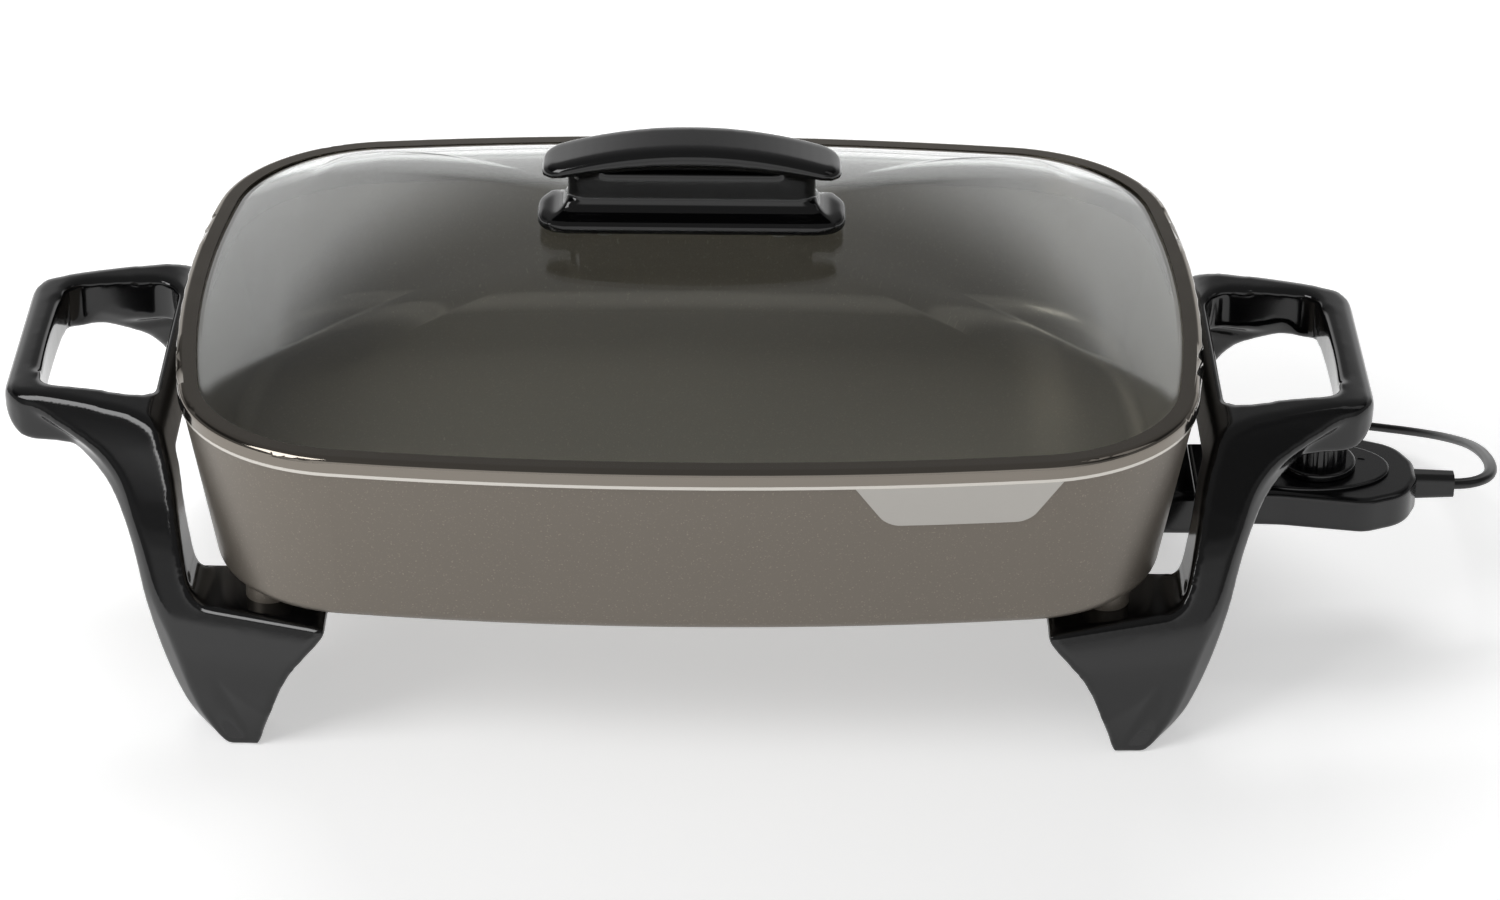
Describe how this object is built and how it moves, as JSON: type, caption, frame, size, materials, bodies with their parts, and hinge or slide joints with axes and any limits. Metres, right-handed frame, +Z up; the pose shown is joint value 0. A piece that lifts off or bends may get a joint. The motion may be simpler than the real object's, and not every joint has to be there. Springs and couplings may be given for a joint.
{
  "type": "electric skillet",
  "caption": "Rectangular electric skillet with a domed glass lid in a steel ring, black loop handles moulded with the legs, and a plug-in heat control on a cord.",
  "frame": {"origin": "on the counter, under the centre of the pan", "axes": "+X along the pan's long side towards the heat control, +Y to the back, +Z up"},
  "size_m": [0.6128, 0.42, 0.213],
  "materials": {
    "pan_coating": "taupe metallic nonstick coating on cast aluminium",
    "brushed_plate": "brushed",
    "sheath": "oxidised sheath",
    "ceramic": "matte",
    "pin_steel": "plain",
    "phenolic": "glossy moulded phenolic",
    "fastener_steel": "plated",
    "lid_glass": "clear tempered glass",
    "ring_steel": "polished",
    "gasket": "silicone",
    "control_plastic": "satin black",
    "contact_brass": "plain",
    "contact_silver": "plain",
    "cord_rubber": "smooth black"
  },
  "bodies": {
    "skillet": {"pan_body": "pan_coating", "nameplate": "brushed_plate", "heating_element": "sheath", "element_ends": "ceramic", "terminal_pins": "pin_steel", "terminal_guard": "phenolic", "guard_screws": "fastener_steel", "left_handle_leg": "phenolic", "right_handle_leg": "phenolic", "handle_screws": "fastener_steel", "handle_washers": "fastener_steel"},
    "lid": {"lid_glass": "lid_glass", "lid_rim": "ring_steel", "lid_handle": "phenolic", "lid_handle_gasket": "gasket", "lid_handle_screws": "fastener_steel", "lid_handle_washers": "fastener_steel"},
    "control": {"control_upper_shell": "control_plastic", "control_lower_shell": "control_plastic", "socket_block": "phenolic", "terminal_sockets": "contact_brass", "probe_rod": "pin_steel", "thermostat_base": "ceramic", "bimetal_strip": "contact_brass", "contact_blades": "contact_brass", "contact_points": "contact_silver", "control_screws": "fastener_steel", "strain_relief": "cord_rubber", "supply_cord": "cord_rubber", "cord_coil": "cord_rubber", "plug_lead": "cord_rubber", "plug_body": "cord_rubber", "plug_blades": "contact_brass"},
    "dial": {"dial_knob": "control_plastic", "dial_spindle": "pin_steel", "dial_cam": "control_plastic"}
  },
  "joints": [
    {"name": "lid_lift", "type": "slide", "parent": "skillet", "child": "lid", "axis": [0, 0, 1], "range_m": [0, 0.12]},
    {"name": "control_pull", "type": "slide", "parent": "skillet", "child": "control", "axis": [1, 0, 0], "range_m": [0, 0.095]},
    {"name": "dial_turn", "type": "hinge", "parent": "control", "child": "dial", "pos_m": [0.258, 0, 0.07], "axis": [0, 0, 1], "range_deg": [0, 270]}
  ]
}
